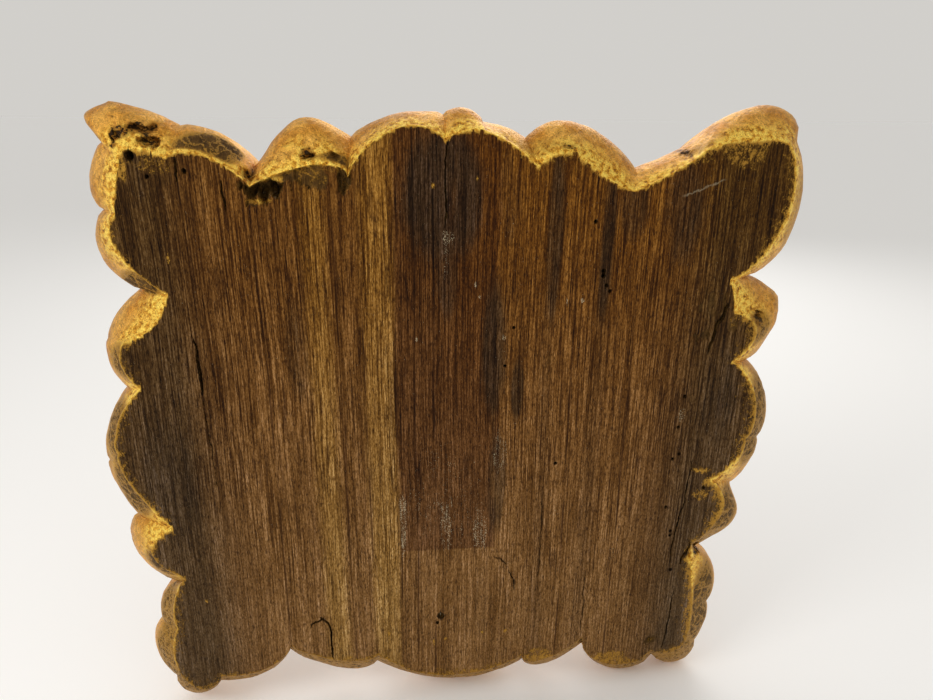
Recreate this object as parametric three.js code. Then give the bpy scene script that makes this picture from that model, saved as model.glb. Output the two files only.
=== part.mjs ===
// A square rosette carved from one block of wood, gilded on its front and edge and bare behind.
// Millimetres. The flat back lies in y = 0 and faces +Y, the carving stands towards -Y, +Z is up.

import * as THREE from 'three';

// Driving dimensions
const rimDepth = 17; // from the back to the widest line of the edge
const stepsPerLobe = 8;
const leafFootRadius = 68; // the circle where the leaves leave the flower
const leafSpan = 40; // degrees that a large leaf takes of that circle
const smallLeafSpan = 5;
const leafPitch = 22.5; // degrees from one leaf to the next, large and small by turns
const firstLeafAngle = 45;
const veinPull = 0.5; // how far the veins lean to the middle of their leaf
const leafEdgeCrispness = 5; // a high power keeps a leaf's crown flat up to its edge
const ribHeight = 7; // the rib down the middle of a large leaf, above its groove
const ribHalfWidth = 0.16; // as a share of half the leaf's width
const fingerRoundness = 0.6; // a low power makes the grooves between the lobes narrow
const petalCount = 8;
const petalReach = 62; // radius to a petal's tip
const petalNotch = 10; // how much the flower draws in between two petals
const petalRoundness = 0.6;
const flowerSteps = 80;
const bossHeight = 63; // from the back to the top of the boss

// Each lobe of the edge, counter-clockwise as seen from the front. On the back's outline:
// the notch before the lobe as x, z, the middle of the lobe, and how pointed it is.
// Then the same three on the rim.
const leaves = [
  {
    large: true,
    lobes: [
      [[135, 82.5], [155, 104], 0.8, [151.5, 82.5], [168.5, 99], 0.6],
      [[153.5, 122], [151.5, 134], 0.9, [163, 121.5], [168, 135], 0.6],
      [[148.5, 145], [146, 149], 0.9, [158.5, 153], [165.5, 163.5], 1.2],
      [[141, 151], [133.5, 149.5], 0.9, [154, 170], [138, 166], 0.8],
      [[127.5, 146], [110, 147], 0.6, [123.5, 159], [104, 155], 0.7],
    ],
  },
  { large: false, lobes: [[[92, 133], [61.5, 143], 0.7, [91, 141], [66, 163], 1.1]] },
  {
    large: true,
    lobes: [
      [[47, 138], [24.5, 159], 0.65, [45.5, 154.5], [24, 165], 0.6],
      [[1, 154.5], [-8, 159], 0.7, [1, 165], [-9, 168], 0.6],
      [[-17, 159], [-30.5, 152.5], 0.9, [-18, 162], [-29.5, 159], 0.9],
    ],
  },
  {
    large: false,
    lobes: [
      [[-43, 142.5], [-52, 148.5], 1, [-39.5, 154.5], [-51.5, 162], 0.7],
      [[-61, 150], [-75, 138.5], 1, [-65.5, 161], [-82.5, 153], 0.8],
    ],
  },
  {
    large: true,
    lobes: [
      [[-91, 131], [-106, 137.5], 0.9, [-96, 140], [-110, 145], 0.9],
      [[-121.5, 147.5], [-145, 155.5], 0.6, [-127.5, 153.5], [-161, 170.5], 0.55],
      [[-168, 152], [-171, 114], 0.7, [-178.5, 154], [-184.5, 109.5], 0.7],
    ],
  },
  {
    large: false,
    lobes: [
      [[-146.5, 85], [-150.5, 75], 0.9, [-162.5, 84.5], [-172.5, 79.5], 0.8],
      [[-152, 67.5], [-165, 56], 0.7, [-181, 74], [-183, 54.5], 0.6],
    ],
  },
  {
    large: true,
    lobes: [
      [[-154, 39.5], [-170.5, 18], 0.65, [-169, 36], [-185, 12.5], 0.7],
      [[-168.5, -8], [-165.5, -21], 0.8, [-183.5, -13], [-182, -29.5], 0.7],
    ],
  },
  { large: false, lobes: [[[-152, -33], [-162, -53.5], 0.8, [-172, -43.5], [-179, -69.5], 1.3]] },
  {
    large: true,
    lobes: [
      [[-145.5, -75.5], [-147.5, -94], 0.8, [-154.5, -88], [-170.5, -106], 0.6],
      [[-151.5, -117], [-152, -131], 0.8, [-169, -131.5], [-170, -146.5], 0.7],
      [[-151, -145], [-144, -156.5], 0.7, [-164.5, -161.5], [-154.5, -179.5], 0.6],
      [[-128, -154.5], [-102, -163.5], 0.5, [-135, -170.5], [-108.5, -179.5], 0.5],
    ],
  },
  { large: false, lobes: [[[-83, -141], [-58.5, -156.5], 0.7, [-88.5, -156], [-63.5, -172], 0.7]] },
  {
    large: true,
    lobes: [
      [[-46, -151], [-28, -160], 0.7, [-49.5, -166.5], [-30.5, -175.5], 0.7],
      [[-6, -163], [17, -159.5], 0.8, [-7.5, -178.5], [16.5, -174.5], 0.8],
    ],
  },
  { large: false, lobes: [[[42, -144], [68, -145], 0.5, [43.5, -161], [63.5, -166], 0.8]] },
  {
    large: true,
    lobes: [
      [[92.5, -132], [108, -148.5], 0.8, [95.5, -147], [111.5, -163.5], 0.8],
      [[134, -152], [146, -161], 0.7, [139, -168], [157, -176.5], 0.6],
      [[157.5, -147], [159, -132], 0.8, [165, -161], [175, -139], 0.75],
      [[155, -115], [155, -98], 0.7, [168, -119.5], [166.5, -103.5], 0.8],
    ],
  },
  { large: false, lobes: [[[147, -82], [162, -63.5], 0.95, [156.5, -92], [176.5, -69], 0.6]] },
  {
    large: true,
    lobes: [
      [[149.5, -48], [166, -22], 0.7, [171, -47], [180, -28], 0.6],
      [[170, -2], [168, 15], 0.7, [181, -12], [179, 8.5], 0.7],
    ],
  },
  {
    large: false,
    lobes: [
      [[154, 34], [161, 46.5], 0.7, [166, 30], [172.5, 43.5], 0.6],
      [[158.5, 59], [144, 66.5], 0.9, [172, 56], [164.5, 70.5], 0.8],
    ],
  },
];

// From the back's outline out to the rim: share of the way, and depth below the back
const edgeRows = [
  [0, 0],
  [0.42, 4.5],
  [0.82, 10.5],
  [1, rimDepth],
];

// From the rim in to the flower: share of the way, height of a large leaf's crown,
// height of a small leaf, and depth of the grooves between lobes
const leafRows = [
  [0.015, 25, 22, 4],
  [0.06, 34, 28.5, 7],
  [0.13, 41, 33, 9],
  [0.22, 46.5, 35, 9],
  [0.33, 50, 36, 7],
  [0.46, 51.5, 36, 5],
  [0.6, 50, 35, 4],
  [0.74, 46.5, 34, 3],
  [0.87, 42, 33, 2],
  [1, 37, 33, 0],
];

// Over the petals: share of the petal's radius, height, and depth of the groove between two petals
const petalRows = [
  [1.07, 35, 0],
  [1, 43, 2],
  [0.93, 49, 4],
  [0.8, 52, 5],
  [0.65, 51, 4],
  [0.54, 47, 2],
];

// Over the boss: radius and height
const bossRows = [
  [27, 45],
  [25.5, 51.5],
  [21.5, 57.5],
  [14.5, 61.3],
  [6.5, 62.7],
];

const radians = THREE.MathUtils.degToRad;

// A point at a share of the way along a lobe: straight from notch to notch, and bulged to the middle
function alongLobe(notch, middle, nextNotch, share, pointedness) {
  const start = new THREE.Vector2(...notch);
  const end = new THREE.Vector2(...nextNotch);
  const bulge = new THREE.Vector2(...middle).sub(start.clone().lerp(end, 0.5));
  const swell = Math.sin(Math.PI * share) ** pointedness;
  return start.lerp(end, share).addScaledVector(bulge, swell);
}

function onCircle(radius, angle) {
  return new THREE.Vector2(Math.cos(angle), Math.sin(angle)).multiplyScalar(radius);
}

// One column for each step round the edge, running from the back over the rim to the flower
function makeColumns() {
  const lobes = leaves.flatMap((leaf, leafIndex) =>
    leaf.lobes.map((row, lobeIndex) => ({ row, leafIndex, lobeIndex })),
  );
  return lobes.flatMap(({ row, leafIndex, lobeIndex }, index) => {
    const [notch, middle, pointedness, rimNotch, rimMiddle, rimPointedness] = row;
    const [nextNotch, , , nextRimNotch] = lobes[(index + 1) % lobes.length].row;
    const columns = [];
    for (let step = 0; step < stepsPerLobe; step += 1) {
      const share = step / stepsPerLobe;
      const back = alongLobe(notch, middle, nextNotch, share, pointedness);
      const rim = alongLobe(rimNotch, rimMiddle, nextRimNotch, share, rimPointedness);
      const across = -1 + (2 * (lobeIndex + share)) / leaves[leafIndex].lobes.length;
      columns.push(makeColumn(back, rim, leafIndex, across, share));
    }
    return columns;
  });
}

function makeColumn(back, rim, leafIndex, across, share) {
  const leaf = leaves[leafIndex];
  const halfSpan = (leaf.large ? leafSpan : smallLeafSpan) / 2;
  const middleAngle = firstLeafAngle + leafPitch * leafIndex;
  const angle = radians(middleAngle + halfSpan * across);
  const foot = onCircle(leafFootRadius, angle);
  const reach = (rim.length() + leafFootRadius) / 2;
  const middleOfLeaf = onCircle(reach, radians(middleAngle));
  const bend = rim.clone().lerp(foot, 0.5);
  bend.lerp(middleOfLeaf, leaf.large ? veinPull * (1 - across * across) : 0);
  return { back, rim, bend, foot, angle, across, share, large: leaf.large };
}

// A curved vein from the rim to the flower
function alongVein(column, share) {
  const vein = new THREE.QuadraticBezierCurve(column.rim, column.bend, column.foot);
  return vein.getPoint(share);
}

// A rib that rises behind the tip of a large leaf and dies away at the flower
function ribAt(column, wayIn) {
  const besideRib = Math.max(0, 1 - Math.abs(column.across) / ribHalfWidth);
  return column.large ? ribHeight * besideRib * Math.sin(Math.PI * wayIn) : 0;
}

function edgeRing(columns, [wayOut, depth]) {
  return columns.map((column) => {
    const spot = column.back.clone().lerp(column.rim, wayOut);
    return new THREE.Vector3(spot.x, -depth, spot.y);
  });
}

function leafRing(columns, [wayIn, crown, low, groove]) {
  return columns.map((column) => {
    const spot = alongVein(column, wayIn);
    const rise = column.large ? 1 - Math.abs(column.across) ** leafEdgeCrispness : 0;
    const finger = Math.sin(Math.PI * column.share) ** fingerRoundness;
    const height = low + (crown - low) * rise - groove * (1 - finger) + ribAt(column, wayIn);
    return new THREE.Vector3(spot.x, -height, spot.y);
  });
}

// The flower's rings start at the angle of the first column
function flowerAngles() {
  const start = radians(firstLeafAngle - leafSpan / 2);
  return Array.from({ length: flowerSteps }, (_, step) => start + (2 * Math.PI * step) / flowerSteps);
}

function petalSwell(angle) {
  return Math.abs(Math.sin((petalCount / 2) * (angle - radians(firstLeafAngle)))) ** petalRoundness;
}

function petalRing([radiusShare, height, groove]) {
  return flowerAngles().map((angle) => {
    const swell = petalSwell(angle);
    const spot = onCircle(radiusShare * (petalReach - petalNotch * (1 - swell)), angle);
    return new THREE.Vector3(spot.x, -(height - groove * (1 - swell)), spot.y);
  });
}

function bossRing([radius, height]) {
  return flowerAngles().map((angle) => {
    const spot = onCircle(radius, angle);
    return new THREE.Vector3(spot.x, -height, spot.y);
  });
}

// Collects rings of points and the triangles between them
class Surface {
  constructor() {
    this.points = [];
    this.triangles = [];
  }

  addRing(ring) {
    const start = this.points.length;
    this.points.push(...ring);
    return ring.map((_, index) => start + index);
  }

  // Two rings with the same number of points
  bridge(outer, inner) {
    outer.forEach((_, index) => {
      const next = (index + 1) % outer.length;
      this.triangles.push([outer[index], outer[next], inner[next]]);
      this.triangles.push([outer[index], inner[next], inner[index]]);
    });
  }

  // Two rings with their own angles, both starting near the same one
  stitch(outer, outerAngles, inner, innerAngles) {
    const turn = 2 * Math.PI;
    let i = 0;
    let j = 0;
    while (i < outer.length || j < inner.length) {
      const outerNext = i + 1 < outer.length ? outerAngles[i + 1] : outerAngles[0] + turn;
      const innerNext = j + 1 < inner.length ? innerAngles[j + 1] : innerAngles[0] + turn;
      const outerHere = outer[i % outer.length];
      const innerHere = inner[j % inner.length];
      if (j === inner.length || (i < outer.length && outerNext <= innerNext)) {
        this.triangles.push([outerHere, outer[(i + 1) % outer.length], innerHere]);
        i += 1;
      } else {
        this.triangles.push([outerHere, inner[(j + 1) % inner.length], innerHere]);
        j += 1;
      }
    }
  }

  closeToPoint(ring, point) {
    const [centre] = this.addRing([point]);
    ring.forEach((here, index) => {
      this.triangles.push([here, ring[(index + 1) % ring.length], centre]);
    });
  }

  // A flat face over the ring, turned to look the other way
  closeFlat(ring) {
    const outline = ring.map((index) => new THREE.Vector2(this.points[index].x, this.points[index].z));
    THREE.ShapeUtils.triangulateShape(outline, []).forEach(([a, b, c]) => {
      this.triangles.push([ring[c], ring[b], ring[a]]);
    });
  }

  geometry() {
    const geometry = new THREE.BufferGeometry();
    geometry.setFromPoints(this.points);
    geometry.setIndex(this.triangles.flat());
    geometry.computeVertexNormals();
    return geometry;
  }
}

function makeRosette() {
  const columns = makeColumns();
  const surface = new Surface();
  const outerRings = [
    ...edgeRows.map((row) => surface.addRing(edgeRing(columns, row))),
    ...leafRows.map((row) => surface.addRing(leafRing(columns, row))),
  ];
  const flowerRings = [
    ...petalRows.map((row) => surface.addRing(petalRing(row))),
    ...bossRows.map((row) => surface.addRing(bossRing(row))),
  ];
  surface.closeFlat(outerRings[0]);
  for (const rings of [outerRings, flowerRings]) {
    rings.slice(1).forEach((ring, index) => surface.bridge(rings[index], ring));
  }
  const columnAngles = columns.map((column) => column.angle);
  surface.stitch(outerRings.at(-1), columnAngles, flowerRings[0], flowerAngles());
  surface.closeToPoint(flowerRings.at(-1), new THREE.Vector3(0, -bossHeight, 0));
  return surface.geometry();
}

const wornGilding = new THREE.MeshStandardMaterial({
  color: 0xb98a3c,
  roughness: 0.5,
  metalness: 0.45,
});

const rosette = new THREE.Mesh(makeRosette(), wornGilding);
rosette.name = 'rosette';

const group = new THREE.Group();
group.add(rosette);

export default group;
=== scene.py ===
# A carved wooden rosette seen from behind: a bare brown back, and worn gilding on its edge and front.
import math

import bpy
import numpy as np
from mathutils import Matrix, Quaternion, Vector
from mathutils.geometry import delaunay_2d_cdt


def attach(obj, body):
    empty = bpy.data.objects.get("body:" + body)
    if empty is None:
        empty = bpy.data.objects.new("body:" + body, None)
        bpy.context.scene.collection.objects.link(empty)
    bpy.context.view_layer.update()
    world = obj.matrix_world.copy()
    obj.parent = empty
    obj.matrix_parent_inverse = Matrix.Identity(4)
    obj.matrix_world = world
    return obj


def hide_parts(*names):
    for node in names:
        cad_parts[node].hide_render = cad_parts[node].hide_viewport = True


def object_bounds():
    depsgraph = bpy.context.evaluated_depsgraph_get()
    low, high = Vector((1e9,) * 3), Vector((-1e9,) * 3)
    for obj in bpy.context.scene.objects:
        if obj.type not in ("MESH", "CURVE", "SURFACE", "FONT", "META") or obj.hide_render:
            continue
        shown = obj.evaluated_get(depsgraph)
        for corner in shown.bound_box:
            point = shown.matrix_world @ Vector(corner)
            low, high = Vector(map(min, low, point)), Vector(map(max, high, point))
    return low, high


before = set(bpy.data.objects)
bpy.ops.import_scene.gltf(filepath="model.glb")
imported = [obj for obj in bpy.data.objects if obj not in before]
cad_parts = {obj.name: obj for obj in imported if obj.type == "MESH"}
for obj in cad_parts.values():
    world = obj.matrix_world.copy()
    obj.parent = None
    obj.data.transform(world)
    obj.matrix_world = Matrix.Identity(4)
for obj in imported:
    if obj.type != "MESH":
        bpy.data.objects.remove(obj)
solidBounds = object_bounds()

mm = 0.001


# Numbers and noise

noiseTableSize = 4096
noiseStrides = np.array([1619, 31337, 6971])
tiny = 1e-9  # keeps a division from failing
midway = 0.5  # of a ramp, and of noise that runs from 0 to 1
ovalCore = 0.45  # share of an oval spot that is at full strength
ovalEdge = 4  # mm, size of the noise on a ragged spot's edge

seeds = {
    "grid": 3,
    "crackWander": 7,
    "waves": 11,
    "ridges": 12,
    "crackWidth": 13,
    "brokenEdge": 14,
    "splinters": 15,
    "coarse": 40,  # and the next two, one for each axis
    "fine": 50,
    "pitEdge": 61,
    "pits": 62,
}


def smoothStep(low, high, value):
    share = np.clip((value - low) / (high - low), 0, 1)
    return share * share * (3 - 2 * share)


def smoothNoise(places, size, seed):
    table = np.random.default_rng(seed).uniform(-1, 1, noiseTableSize)
    scaled = places / np.asarray(size, float)
    cell = np.floor(scaled).astype(np.int64)
    part = scaled - cell
    part = part * part * (3 - 2 * part)
    total = np.zeros(len(places))
    for corner in np.ndindex(2, 2, 2):
        value = table[((cell + corner) @ noiseStrides) % noiseTableSize]
        nearness = np.where(np.array(corner) == 1, part, 1 - part)
        total += value * nearness.prod(axis=1)
    return total


# Finer and fainter layers on top of one another
def roughNoise(places, size, seed, layers=3):
    size = np.asarray(size, float)
    return sum(smoothNoise(places, size / 2**n, seed + n) / 2**n for n in range(layers))


# A Catmull-Rom curve through rows of numbers, with a number of steps for each gap between rows
def smoothRows(rows, steps):
    rows = np.array(rows, float)
    padded = np.vstack([2 * rows[0] - rows[1], rows, 2 * rows[-1] - rows[-2]])
    made = []
    for index, count in enumerate(steps):
        a, b, c, d = padded[index : index + 4]
        for t in np.arange(count) / count:
            cubic = 2 * a - 5 * b + 4 * c - d + t * (3 * b - a - 3 * c + d)
            made.append(b + t / 2 * (c - a + t * cubic))
    return np.array(made + [rows[-1]])


def onCircle(radius, angle):
    return np.stack([np.cos(angle), np.sin(angle)], axis=-1) * np.asarray(radius)[..., None]


# Distance of places to a line, and how far along the line the nearest point is, from 0 to 1
def awayFromLine(places, line):
    nearest = np.full(len(places), np.inf)
    share = np.zeros(len(places))
    for index, (start, end) in enumerate(zip(line, line[1:])):
        along = end - start
        part = np.clip((places - start) @ along / max(along @ along, tiny), 0, 1)
        distance = np.linalg.norm(places - start - part[:, None] * along, axis=1)
        share = np.where(distance < nearest, (index + part) / (len(line) - 1), share)
        nearest = np.minimum(nearest, distance)
    return nearest, share


def isInside(places, outline):
    inside = np.zeros(len(places), bool)
    for (x1, z1), (x2, z2) in zip(outline, np.roll(outline, -1, axis=0)):
        if z1 == z2:
            continue
        crosses = (z1 > places[:, 1]) != (z2 > places[:, 1])
        inside ^= crosses & (places[:, 0] < (x2 - x1) * (places[:, 1] - z1) / (z2 - z1) + x1)
    return inside


# How deep places lie in oval spots (x, z, half width, half height), 1 in the middle and 0 outside
def inSpots(places, ovals, ragged=0.0, seed=0):
    deep = np.zeros(len(places))
    solid = np.column_stack([places, np.zeros(len(places))])
    noise = ragged * roughNoise(solid, ovalEdge, seed) if ragged else 0
    for x, z, halfWidth, halfHeight, *strength in ovals:
        away = np.hypot((places[:, 0] - x) / halfWidth, (places[:, 1] - z) / halfHeight)
        inOval = smoothStep(1, ovalCore, away + noise) * (strength[0] if strength else 1)
        deep = np.maximum(deep, inOval)
    return deep


# The leaves: lobes in mm across and up, in order round the edge from the corner at +X and +Z.
# A lobe is its notch and middle on the back and its bluntness, then the same for the rim.

leafLobes = [
    [
        [[135, 82.5], [155, 104], 0.8, [151.5, 82.5], [168.5, 99], 0.6],
        [[153.5, 122], [151.5, 134], 0.9, [163, 121.5], [168, 135], 0.6],
        [[148.5, 145], [146, 149], 0.9, [158.5, 153], [165.5, 163.5], 1.2],
        [[141, 151], [133.5, 149.5], 0.9, [154, 170], [138, 166], 0.8],
        [[127.5, 146], [110, 147], 0.6, [123.5, 159], [104, 155], 0.7],
    ],
    [
        [[92, 133], [61.5, 143], 0.7, [91, 141], [69, 163], 1.1],
    ],
    [
        [[47, 138], [24.5, 159], 0.65, [45.5, 154.5], [24, 165], 0.6],
        [[1, 154.5], [-8, 159], 0.7, [1, 165], [-9, 168], 0.6],
        [[-17, 159], [-30.5, 152.5], 0.9, [-18, 162], [-29.5, 159], 0.9],
    ],
    [
        [[-43, 142.5], [-52, 148.5], 1, [-39.5, 154.5], [-51.5, 162], 0.7],
        [[-61, 150], [-75, 138.5], 1, [-65.5, 161], [-82.5, 153], 0.8],
    ],
    [
        [[-91, 131], [-106, 137.5], 0.9, [-96, 140], [-110, 145], 0.9],
        [[-121.5, 147.5], [-145, 155.5], 0.6, [-127.5, 153.5], [-161, 170.5], 0.55],
        [[-168, 152], [-171, 114], 0.7, [-178.5, 154], [-184.5, 109.5], 0.7],
    ],
    [
        [[-146.5, 85], [-150.5, 75], 0.9, [-162.5, 84.5], [-172.5, 79.5], 0.8],
        [[-152, 67.5], [-165, 56], 0.7, [-181, 74], [-183, 54.5], 0.6],
    ],
    [
        [[-154, 39.5], [-170.5, 18], 0.65, [-169, 36], [-185, 12.5], 0.7],
        [[-168.5, -8], [-165.5, -21], 0.8, [-183.5, -13], [-182, -29.5], 0.7],
    ],
    [
        [[-152, -33], [-162, -53.5], 0.8, [-172, -43.5], [-179, -69.5], 1.3],
    ],
    [
        [[-145.5, -75.5], [-147.5, -94], 0.8, [-154.5, -88], [-170.5, -106], 0.6],
        [[-151.5, -117], [-152, -131], 0.8, [-169, -131.5], [-170, -146.5], 0.7],
        [[-151, -145], [-144, -156.5], 0.7, [-164.5, -161.5], [-154.5, -179.5], 0.6],
        [[-128, -154.5], [-102, -163.5], 0.5, [-135, -170.5], [-108.5, -179.5], 0.5],
    ],
    [
        [[-83, -141], [-58.5, -156.5], 0.7, [-88.5, -156], [-63.5, -172], 0.7],
    ],
    [
        [[-46, -151], [-28, -160], 0.7, [-49.5, -166.5], [-30.5, -175.5], 0.7],
        [[-6, -163], [17, -159.5], 0.8, [-7.5, -178.5], [16.5, -174.5], 0.8],
    ],
    [
        [[42, -144], [68, -145], 0.5, [43.5, -161], [63.5, -166], 0.8],
    ],
    [
        [[92.5, -132], [108, -148.5], 0.8, [95.5, -147], [111.5, -163.5], 0.8],
        [[134, -152], [146, -161], 0.7, [139, -168], [157, -176.5], 0.6],
        [[157.5, -147], [159, -132], 0.8, [165, -161], [175, -139], 0.75],
        [[155, -115], [155, -98], 0.7, [168, -119.5], [166.5, -103.5], 0.8],
    ],
    [
        [[147, -82], [162, -63.5], 0.95, [156.5, -92], [176.5, -69], 0.6],
    ],
    [
        [[149.5, -48], [166, -22], 0.7, [171, -47], [180, -28], 0.6],
        [[170, -2], [168, 15], 0.7, [181, -12], [179, 8.5], 0.7],
    ],
    [
        [[154, 34], [161, 46.5], 0.7, [166, 30], [172.5, 43.5], 0.6],
        [[158.5, 59], [144, 66.5], 0.9, [172, 56], [164.5, 70.5], 0.8],
    ],
]

leaves = {
    "firstLeafAngle": 45,  # degrees, seen from the front
    "leafPitch": 22.5,
    "largeHalfSpan": 20,
    "smallHalfSpan": 2.5,
    "footRadius": 68,  # mm, where the leaves end under the flower
    "veinPull": 0.5,
    "edgeCrispness": 5,
    "ribHeight": 7,
    "ribHalfWidth": 0.16,
    "fingerRoundness": 0.6,
    "columnsPerLobe": 16,
    "rows": [  # way out over the edge, way in over the leaf, crown, low, groove; the last three in mm
        [0, 0, 0, 0, 0],
        [0.42, 0, 4.5, 4.5, 0],
        [0.82, 0, 10.5, 10.5, 0],
        [1, 0, 17, 17, 0],
        [1, 0.015, 25, 22, 4],
        [1, 0.06, 34, 28.5, 7],
        [1, 0.13, 41, 33, 9],
        [1, 0.22, 46.5, 35, 9],
        [1, 0.33, 50, 36, 7],
        [1, 0.46, 51.5, 36, 5],
        [1, 0.6, 50, 35, 4],
        [1, 0.74, 46.5, 34, 3],
        [1, 0.87, 42, 33, 2],
        [1, 1, 37, 33, 0],
    ],
    "rowSteps": [5, 5, 5, 4, 4, 4, 5, 5, 5, 5, 5, 4, 3],
    "veins": [(0.5, 0.09, 3.4), (0.25, 0.06, 2), (0.75, 0.06, 2)],  # place, width, depth in mm
    "veinsEndAt": 0.7,  # way in over the leaf
    "flatEdge": 4,  # mm from the back over which the unevenness starts
    "grooveDirtAndShade": (0.55, 0.45, 0.4),  # of the dirt and painted shade in the grooves: broad share, narrow share, and the power that narrows it
    "dirtAndShadeFrom": (24, 38),  # mm from the back, where the grooves' dirt and painted shade start and are full
}

flower = {
    "petalCount": 8,
    "petalReach": 62,
    "petalNotch": 10,
    "petalRoundness": 0.6,
    "columns": 288,
    "rows": [  # share of the petal's reach, plus mm; height and groove in mm
        [1.07, 0, 35, 0],
        [1, 0, 43, 2],
        [0.93, 0, 49, 4],
        [0.8, 0, 52, 5],
        [0.65, 0, 51, 4],
        [0.54, 0, 47, 2],
        [0, 27, 45, 0],
        [0, 25.5, 51.5, 0],
        [0, 21.5, 57.5, 0],
        [0, 14.5, 61.3, 0],
        [0, 6.5, 62.7, 0],
    ],
    "rowSteps": [4, 4, 5, 5, 4, 3, 4, 4, 4, 4],
    "height": 63,
    "petalVeins": 5,
    "petalVeinDepth": 0.9,
    "petalVeinSharpness": 4,
    "petalVeinsFrom": (0.5, 0.62),  # share of the reach, where they start and are full
    "petalDirtAndShadeFrom": (0.5, 0.6),
    "bossShare": 0.01,  # rows with less of the petal's reach than this are the boss
    "seedRows": 14,  # spirals each way over the boss
    "seedHeight": 0.55,
    "seedTurn": 2,  # mm further out for each radian
    "seedsFrom": (3, 9),  # mm from the middle
    "seedsTo": (27, 24),
    "bossSeam": (29, 3.5),  # mm from the middle, and width
    "outerSeam": (60, 66),
    "seamDirtAndShade": 0.8,
    "unevenness": 0.8,
}

# The pits of the gilded edge, in mm; x grows to the left as seen from behind
pits = {
    "places": [  # place, half width, half height
        (149.3, 151.5, 1.8, 2.4),
        (147, 156.5, 6, 3.4),
        (138, 158, 8, 4.2),
        (135, 153, 7, 3.4),
        (64, 148, 5.5, 3.6),
        (53, 145, 3.6, 3.6),
        (-166.5, 63, 4, 6.5),
        (92, 137, 4, 3.4),
        (-150, -83, 3, 4.4),
        (-59, 151, 5, 2.2),
        (-118, 148, 5, 2.2),
    ],
    "depth": 3.4,
    "size": 2.6,
    "raggedness": 0.4,
    "from": (0, 1.5),  # from the back, where they start and are full
    "to": (22, 15),  # where they end, and up to where they are full
    "sides": (-0.3, 0.4),  # noise at the lip and the floor of a pit
    "dirtAndShade": 0.62,
}

# Small unevenness of the knife and the ground under the gold: size and height in mm
unevenness = {
    "coarse": (10, 0.42),
    "fine": (3.2, 0.2),
}


def layOutColumns():
    lobes = [lobe for leaf in leafLobes for lobe in leaf]
    steps = leaves["columnsPerLobe"]
    share = np.tile(np.arange(steps) / steps, len(lobes))

    def perColumn(values):
        return np.repeat(np.array(values, float), steps, axis=0)

    def lobedLine(first):
        notch = [lobe[first] for lobe in lobes]
        notch, nextNotch = perColumn(notch), perColumn(notch[1:] + notch[:1])
        middle = perColumn([lobe[first + 1] for lobe in lobes])
        swell = np.sin(np.pi * share) ** perColumn([lobe[first + 2] for lobe in lobes])
        straight = notch + (nextNotch - notch) * share[:, None]
        return straight + (middle - (notch + nextNotch) / 2) * swell[:, None]

    number = perColumn([number for number, leaf in enumerate(leafLobes) for lobe in leaf])
    place = perColumn([place for leaf in leafLobes for place, lobe in enumerate(leaf)])
    count = perColumn([len(leaf) for leaf in leafLobes for lobe in leaf])
    isLarge = (number % 2 == 0).astype(float)
    across = -1 + 2 * (place + share) / count
    middleAngle = np.radians(leaves["firstLeafAngle"] + leaves["leafPitch"] * number)
    halfSpan = np.where(isLarge == 1, leaves["largeHalfSpan"], leaves["smallHalfSpan"])
    angle = middleAngle + np.radians(halfSpan) * across

    back, rim = lobedLine(0), lobedLine(3)
    foot = onCircle(np.full(len(angle), leaves["footRadius"]), angle)
    halfway = onCircle((np.linalg.norm(rim, axis=1) + leaves["footRadius"]) / 2, middleAngle)
    pull = (isLarge * leaves["veinPull"] * (1 - across**2))[:, None]
    bend = (rim + foot) / 2 * (1 - pull) + halfway * pull
    return {
        "share": share,
        "across": across,
        "isLarge": isLarge,
        "angle": angle,
        "back": back,
        "rim": rim,
        "bend": bend,
        "foot": foot,
    }


def roughen(places, amount):
    moved = places.copy()
    coarseSize, coarseHeight = unevenness["coarse"]
    fineSize, fineHeight = unevenness["fine"]
    for axis in range(3):
        coarse = smoothNoise(places, coarseSize, seeds["coarse"] + axis)
        fine = smoothNoise(places, fineSize, seeds["fine"] + axis)
        moved[:, axis] += amount * (coarseHeight * coarse + fineHeight * fine)
    return moved


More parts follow.
